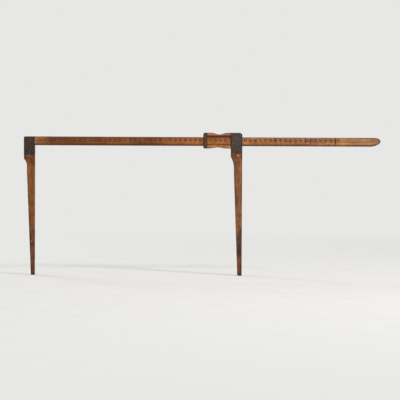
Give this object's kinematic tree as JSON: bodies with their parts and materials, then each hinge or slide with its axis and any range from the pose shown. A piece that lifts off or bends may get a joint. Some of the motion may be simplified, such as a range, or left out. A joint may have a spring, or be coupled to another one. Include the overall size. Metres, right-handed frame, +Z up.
{
  "type": "wooden tree caliper",
  "caption": "Wooden log caliper: graduated beam, fixed jaw with iron head plates, and a sliding jaw on a riveted guide frame with a sprung pressure strip.",
  "frame": {"origin": "centre of the tool's bounding box in X and Y, level with the jaw tips", "axes": "+X along the beam from the fixed jaw to the free end, +Z up with the jaws pointing down, the front faces -Y"},
  "size_m": [1.424, 0.0254, 0.571],
  "materials": {
    "beam_wood": "satin",
    "jaw_wood": "satin",
    "rail_wood": "satin",
    "fixed_plate_iron": "matte",
    "slider_plate_iron": "matte",
    "rivet_iron": "satin",
    "spring_steel": "satin"
  },
  "bodies": {
    "beam_and_fixed_jaw": {"beam": "beam_wood", "fixed_jaw": "jaw_wood", "fixed_head_plate_front": "fixed_plate_iron", "fixed_head_plate_back": "fixed_plate_iron", "fixed_tenon_rivets": "rivet_iron", "fixed_jaw_rivets": "rivet_iron"},
    "slider": {"sliding_jaw": "jaw_wood", "upper_rail": "rail_wood", "lower_rail": "rail_wood", "slider_head_plate_front": "slider_plate_iron", "slider_head_plate_back": "slider_plate_iron", "slider_end_plate_front": "slider_plate_iron", "slider_end_plate_back": "slider_plate_iron", "upper_rail_rivets": "rivet_iron", "sliding_jaw_rivets": "rivet_iron", "slider_end_rivets": "rivet_iron", "pressure_strip": "spring_steel", "strip_guide_pins": "spring_steel", "tension_spring": "spring_steel", "spring_rivet": "rivet_iron"}
  },
  "joints": [
    {"name": "jaw_slide", "type": "slide", "parent": "beam_and_fixed_jaw", "child": "slider", "axis": [1, 0, 0], "range_m": [-0.66, 0.52]}
  ]
}
